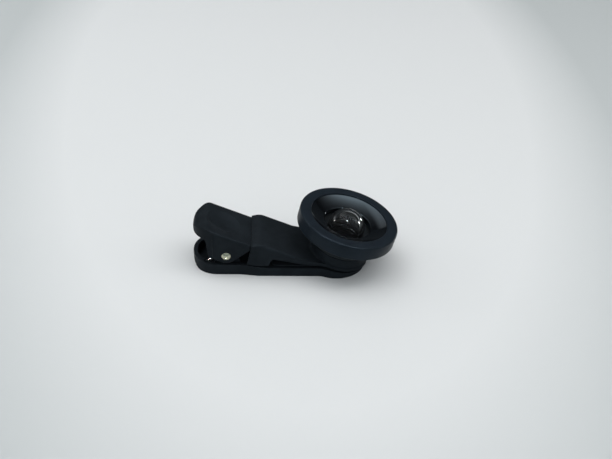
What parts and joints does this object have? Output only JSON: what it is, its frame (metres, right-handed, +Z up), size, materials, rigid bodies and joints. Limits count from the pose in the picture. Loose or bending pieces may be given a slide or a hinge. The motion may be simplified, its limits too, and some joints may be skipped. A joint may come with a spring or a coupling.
{
  "type": "clip-on phone lens",
  "caption": "Clip-on phone lens: a spring clip with rubber jaw pads carries a screw-in lens with a wide front ring, a dished black bowl and a bulging front glass.",
  "frame": {"origin": "bottom centre of the overall bounding box, on the surface that the clip lies on", "axes": "+X along the clip from the pivot towards the lens, +Y along the pivot pin, +Z up, away from the surface that the clip lies on"},
  "size_m": [0.0772, 0.038, 0.0243],
  "materials": {
    "clip_black": "fine soft-touch matt",
    "pin_steel": "bright, turned",
    "spring_steel": "drawn wire",
    "pad_rubber": "matt",
    "seal_rubber": "matt",
    "barrel_black": "black anodised, satin",
    "rim_black": "black anodised, satin",
    "bowl_gloss": "polished dish",
    "front_glass": "polished, coated",
    "inner_glass": "polished, coated",
    "inner_black": "matt black"
  },
  "bodies": {
    "lower": {"lower_arm": "clip_black", "lower_jaw_pad": "pad_rubber", "pivot_pin": "pin_steel", "pin_push_nut": "pin_steel", "torsion_spring": "spring_steel"},
    "upper": {"upper_arm": "clip_black", "upper_jaw_pad": "pad_rubber"},
    "lens": {"lens_barrel": "barrel_black", "rim_ring": "rim_black", "bowl_ring": "bowl_gloss", "front_dome": "front_glass", "dome_retaining_ring": "inner_black", "dome_seal": "seal_rubber", "middle_retaining_ring": "inner_black", "middle_lens": "inner_glass", "front_spacer": "inner_black", "aperture_stop": "inner_black", "rear_crown_lens": "inner_glass", "rear_flint_lens": "inner_glass", "rear_retaining_ring": "inner_black"}
  },
  "joints": [
    {"name": "clip_pivot", "type": "hinge", "parent": "lower", "child": "upper", "pos_m": [-0.02592, 0, 0.0087], "axis": [0, -1, 0], "range_deg": [0, 25], "stiffness_Nm_per_rad": 0.08, "springref_deg": -85.94, "deforming": ["torsion_spring"]},
    {"name": "lens_unscrew", "type": "hinge", "parent": "upper", "child": "lens", "pos_m": [0.01648, 0, 0.00317], "axis": [0.2079, 0, 0.9781], "range_deg": [0, 1080]}
  ]
}
